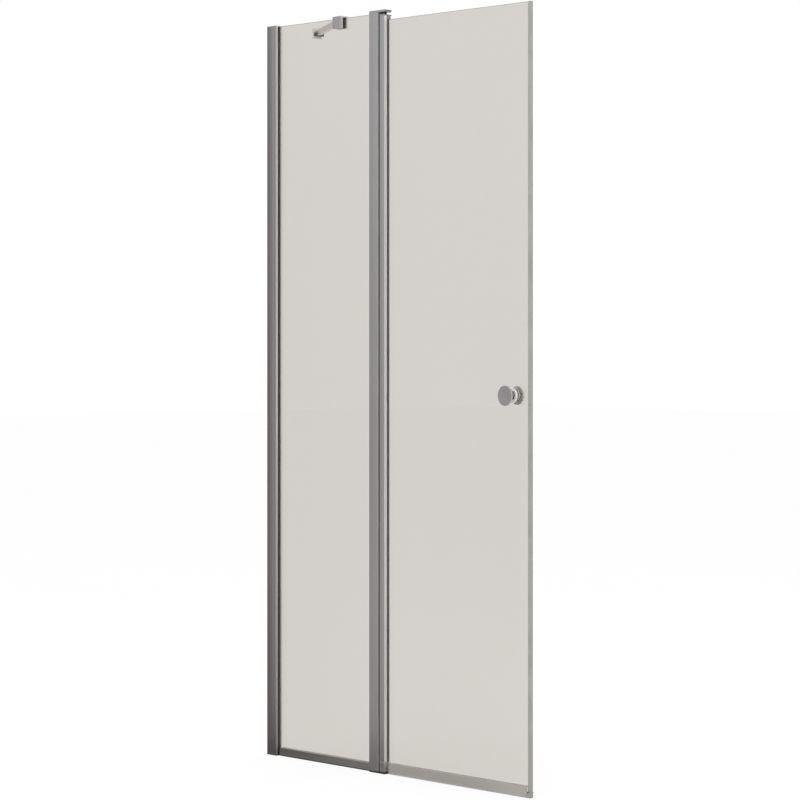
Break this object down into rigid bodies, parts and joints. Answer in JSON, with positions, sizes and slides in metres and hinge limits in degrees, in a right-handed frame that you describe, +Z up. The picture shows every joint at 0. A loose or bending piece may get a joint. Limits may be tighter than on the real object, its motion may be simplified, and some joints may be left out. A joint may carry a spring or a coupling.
{
  "type": "pivot shower door",
  "caption": "Frameless-look pivot shower door with a fixed side pane, post, turning glass leaf, round knob and a wall stabiliser bar.",
  "frame": {"origin": "on the wall plane, at the foot of the door, in the middle plane of the glass", "axes": "+X along the door from the wall to the closing edge, +Y into the shower, +Z up"},
  "size_m": [1, 0.205, 1.9575],
  "materials": {
    "anodised_profile": "polished anodised",
    "cast_fitting": "bright plated",
    "steel": "brushed",
    "clear_glass": "clear toughened",
    "black_rubber": "matte",
    "grey_seal": "satin",
    "dark_plastic": "matte",
    "light_plastic": "satin"
  },
  "bodies": {
    "root": {"wall_channel": "anodised_profile", "frame_profile": "anodised_profile", "frame_cap": "anodised_profile", "frame_foot": "dark_plastic", "adjusting_screws": "steel", "screw_covers": "light_plastic", "fixed_glass": "clear_glass", "frame_gasket_out": "black_rubber", "frame_gasket_in": "grey_seal", "fixed_rail": "anodised_profile", "rail_gaskets": "grey_seal", "setting_blocks": "dark_plastic", "sill_seal": "black_rubber", "rail_end_pads": "black_rubber", "post": "anodised_profile", "post_gasket_out": "black_rubber", "post_gasket_in": "grey_seal", "post_strip": "black_rubber", "top_bracket": "cast_fitting", "bottom_bracket": "cast_fitting", "bracket_screws": "steel", "upper_bush": "dark_plastic", "lower_pivot_pin": "steel", "fixed_lift_cam": "dark_plastic", "glass_clamp": "cast_fitting", "clamp_pads": "black_rubber", "clamp_screws": "steel", "stabiliser_bar": "anodised_profile", "bar_screw": "steel", "bar_boot": "dark_plastic", "boot_pin": "steel", "wall_flange": "cast_fitting"},
    "pivot": {"upper_pivot_pin": "steel"},
    "leaf": {"hinge_profile": "anodised_profile", "upper_plug": "cast_fitting", "lower_block": "cast_fitting", "hinge_end_screws": "steel", "lower_bush": "dark_plastic", "moving_lift_cam": "dark_plastic", "hinge_gasket_out": "black_rubber", "hinge_gasket_in": "black_rubber", "door_glass": "clear_glass", "door_rail": "anodised_profile", "door_rail_gaskets": "grey_seal", "door_setting_blocks": "dark_plastic", "drip_seal": "grey_seal", "rail_end_cap": "light_plastic", "closing_seal": "grey_seal", "closing_magnet": "black_rubber", "outer_knob": "cast_fitting", "inner_knob": "cast_fitting", "knob_rosettes": "cast_fitting", "knob_stud": "steel", "knob_sleeve": "light_plastic", "knob_washers": "light_plastic"}
  },
  "joints": [
    {"name": "door_swing", "type": "hinge", "parent": "root", "child": "pivot", "pos_m": [0.46836, -0.0045, 0], "axis": [0, 0, -1], "range_deg": [0, 105]},
    {"name": "door_lift", "type": "slide", "parent": "pivot", "child": "leaf", "axis": [0, 0, 1], "range_m": [0, 0.0045]}
  ],
  "couplings": [
    {"joint": "door_lift", "follows": "door_swing", "m_per_rad": 0.0024555}
  ]
}
